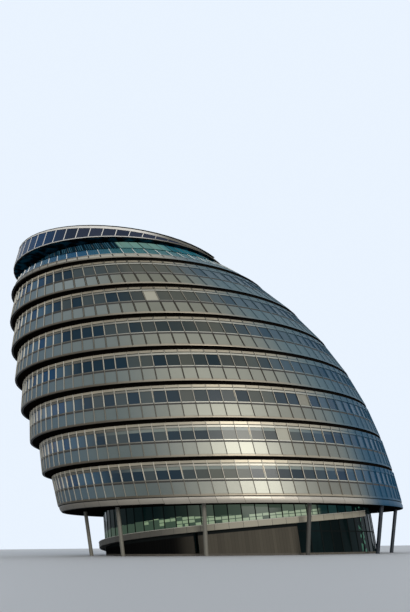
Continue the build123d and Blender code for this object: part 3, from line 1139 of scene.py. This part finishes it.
def roof_material():
    """A concrete top, and a soffit in black painted shade with patches of painted blue reflection.
    """
    material, wire, place = start_material("roof_concrete")
    cloud = noise(place, 0.9, 6.0)
    # Painted shade on the soffit, with patches of painted blue reflection.
    patch = step_up(noise(place, 1.6, 4.0), 0.45, 0.65)
    soffit = blend(patch, (0.002, 0.004, 0.006), (0.006, 0.050, 0.080))
    top = blend(cloud, (0.22, 0.21, 0.19), (0.30, 0.29, 0.27))
    normal = bump(noise(place, 55.0), 0.1)
    surface(
        wire, blend(facing(wire) < 0.5, top, soffit), 0.6 + cloud * 0.2, normal,
        Specular_IOR_Level=0.0,
    )
    return material


dress("roof_slab", roof_material())
dress("crown_trim", crown_metal_material("crown_trim", (0.50, 0.49, 0.46)))


# Crown screen
# Dark solar panels stand on the trim between pale ribs, and taper away to the north under a
# broad pale band with a dark gutter on top.
crown_facets = 56
crown_trim = 0.090
crown_top_level = 21.475
crown_top_shift = 0.188
crown_top_radius = 8.213
crown_tilt = radians(5.4)
trim_ring = (crown_level + crown_trim, *crown_ring[1:])
crown_top = (crown_top_level, crown_ring[1] + crown_top_shift, crown_top_radius)
screen_half = 141.0
screen_steps = 44
crown_pitch = 360.0 / crown_facets
cell_turn = 0.54
cell_height = 0.078
rib_width = 0.050
rib_depth = 0.060
rib_proud = 0.022
shortest_rib = 0.06


def crown_point(angle, share, outwards):
    """A point of the screen at an angle and a share of its height."""
    level, centre, radius = crown_top
    foot = ring_corner(proud(trim_ring, outwards), angle)
    reach = (radius + outwards) * cos(angle)
    head = (
        centre + reach * cos(crown_tilt), (radius + outwards) * sin(angle),
        level - reach * sin(crown_tilt),
    )
    return tuple(a + (b - a) * share for a, b in zip(foot, head))


def solar_panel_material():
    """Dark blue cells in a fine grid, with painted sky reflection bluer to the south."""
    material, wire, place = start_material("solar_panel")
    x, y, z = split(place)
    angle = turn_about(x, y, crown_ring[1])
    upright_line = boards(angle, cell_turn, 0.06)[1]
    level_line = boards(z, cell_height, 0.06)[1]
    grid = 1 - (1 - upright_line) * (1 - level_line)
    pick = chance(board_number(angle, crown_pitch), 5.0)
    side, _ = ring_side(x, y, crown_ring[1])
    colour = blend(pick, (0.012, 0.019, 0.036), (0.026, 0.032, 0.054))
    # Painted sky reflection: bluer towards the south.
    colour = blend(step_up(side, -0.45, -0.80), colour, (0.006, 0.040, 0.110))
    colour = blend(grid * 0.35, colour, (0.07, 0.08, 0.11))
    normal = bump(1 - grid, 0.05, 0.002)
    surface(wire, colour, 0.25 + pick * 0.08, normal, Specular_IOR_Level=0.05)
    return material


def crown_strip(name, material, drop, lift, inner, outer):
    """A strip along the screen's head, its edges measured from the head."""
    sections = []
    for step in range(screen_steps + 1):
        angle = radians(180.0 - screen_half + 2 * screen_half * step / screen_steps)
        rise = crown_point(angle, 1.0, 0.0)[2] - trim_ring[0]
        low = max(1 - drop(angle) / rise, 0.0)
        high = 1 + lift / rise
        corners = ((low, outer), (high, outer), (high, inner), (low, inner))
        sections.append([crown_point(angle, share, out) for share, out in corners])
    swept(name, material, sections, False)


def band_depth(angle):
    """How deep the pale band is with its gutter, which narrows towards the south."""
    return min(0.12 + 0.18 * (1 + cos(angle)), 0.245)


def gutter_depth(angle):
    """How deep the dark gutter along the head is."""
    return 0.075 + 0.045 * cos(angle)


crown_metal = crown_metal_material("crown_aluminium", (0.64, 0.62, 0.58))
dress("crown_screen", solar_panel_material())
ring_bars(
    "crown_ribs", crown_metal, crown_facets,
    proud(trim_ring, rib_proud), proud(crown_top, rib_proud), rib_width, rib_depth,
    crown_tilt, shortest_rib,
)
crown_strip(
    "crown_band", crown_metal, band_depth, lift=-0.02, inner=-0.05, outer=0.03
)
crown_strip(
    "crown_gutter", dark_metal, gutter_depth, lift=0.004, inner=-0.10, outer=0.04
)


# Floor, backdrop and light
# The building stands on a pale floor before a pale world. One broad soft key low behind the
# camera lights it, and the world fills its shadows.
floor_reach = 400.0
floor_corners = [
    (-floor_reach, -floor_reach, 0.0), (floor_reach, -floor_reach, 0.0),
    (floor_reach, floor_reach, 0.0), (-floor_reach, floor_reach, 0.0),
]
floor_mesh = bpy.data.meshes.new("studio_floor")
floor_mesh.from_pydata(floor_corners, [], [(0, 1, 2, 3)])
floor_paint, wire, place = start_material("studio_floor")
floor_tone = (0.70, 0.70, 0.70, 1.0)
surface(wire, floor_tone, 0.7, bump(noise(place, 30.0), 0.02))
floor_mesh.materials.append(floor_paint)
place_mesh("studio_floor", floor_mesh)

world = bpy.data.worlds.new("studio")
world.use_nodes = True
world.node_tree.nodes.clear()
world_wire = Wire(world.node_tree)
camera_ray, glossy_ray, through_ray = [
    world_wire.node("ShaderNodeLightPath", out=name)
    for name in ("Is Camera Ray", "Is Glossy Ray", "Is Transmission Ray")
]
mirrored = world_wire.maths("MAXIMUM", glossy_ray, through_ray)
seen = world_wire.maths("MAXIMUM", camera_ray, mirrored)
fill = 0.46
background = world_wire.node(
    "ShaderNodeBackground", {},
    {"Color": (0.82, 0.90, 1.0, 1.0), "Strength": fill + seen * (1 - fill)},
)
world_wire.node("ShaderNodeOutputWorld", {}, {"Surface": background})
bpy.context.scene.world = world

key_strength = 2.5
key_spread = radians(26)
key_slope = radians(82)
key_turn = radians(8)
key_data = bpy.data.lights.new("key", "SUN")
key_data.energy = key_strength
key_data.angle = key_spread
key_data.color = (1.0, 0.965, 0.905)
key = bpy.data.objects.new("key", key_data)
key.rotation_euler = (key_slope, 0.0, key_turn)
bpy.context.scene.collection.objects.link(key)

bpy.context.scene.view_settings.view_transform = "Standard"


# Camera
# The photograph looks up at the building from just above the ground, a little south of square
# on, with the horizon low in the frame.
image_height = 612
focal_pixels = 733.1
camera_place = (-11.02, -54.81, 0.54)
camera_turn = radians(-9.71)
camera_climb = radians(18.16)
camera_roll = radians(-0.56)
camera_data = bpy.data.cameras.new("camera")
camera_data.sensor_fit = "VERTICAL"
camera_data.sensor_height = 36.0
camera_data.lens = focal_pixels / image_height * camera_data.sensor_height
camera_data.clip_end = 1000.0
camera = bpy.data.objects.new("camera", camera_data)
camera.matrix_world = (
    Matrix.Translation(camera_place)
    @ Matrix.Rotation(camera_turn, 4, "Z")
    @ Matrix.Rotation(radians(90.0) + camera_climb, 4, "X")
    @ Matrix.Rotation(camera_roll, 4, "Z")
)
bpy.context.scene.collection.objects.link(camera)
bpy.context.scene.camera = camera
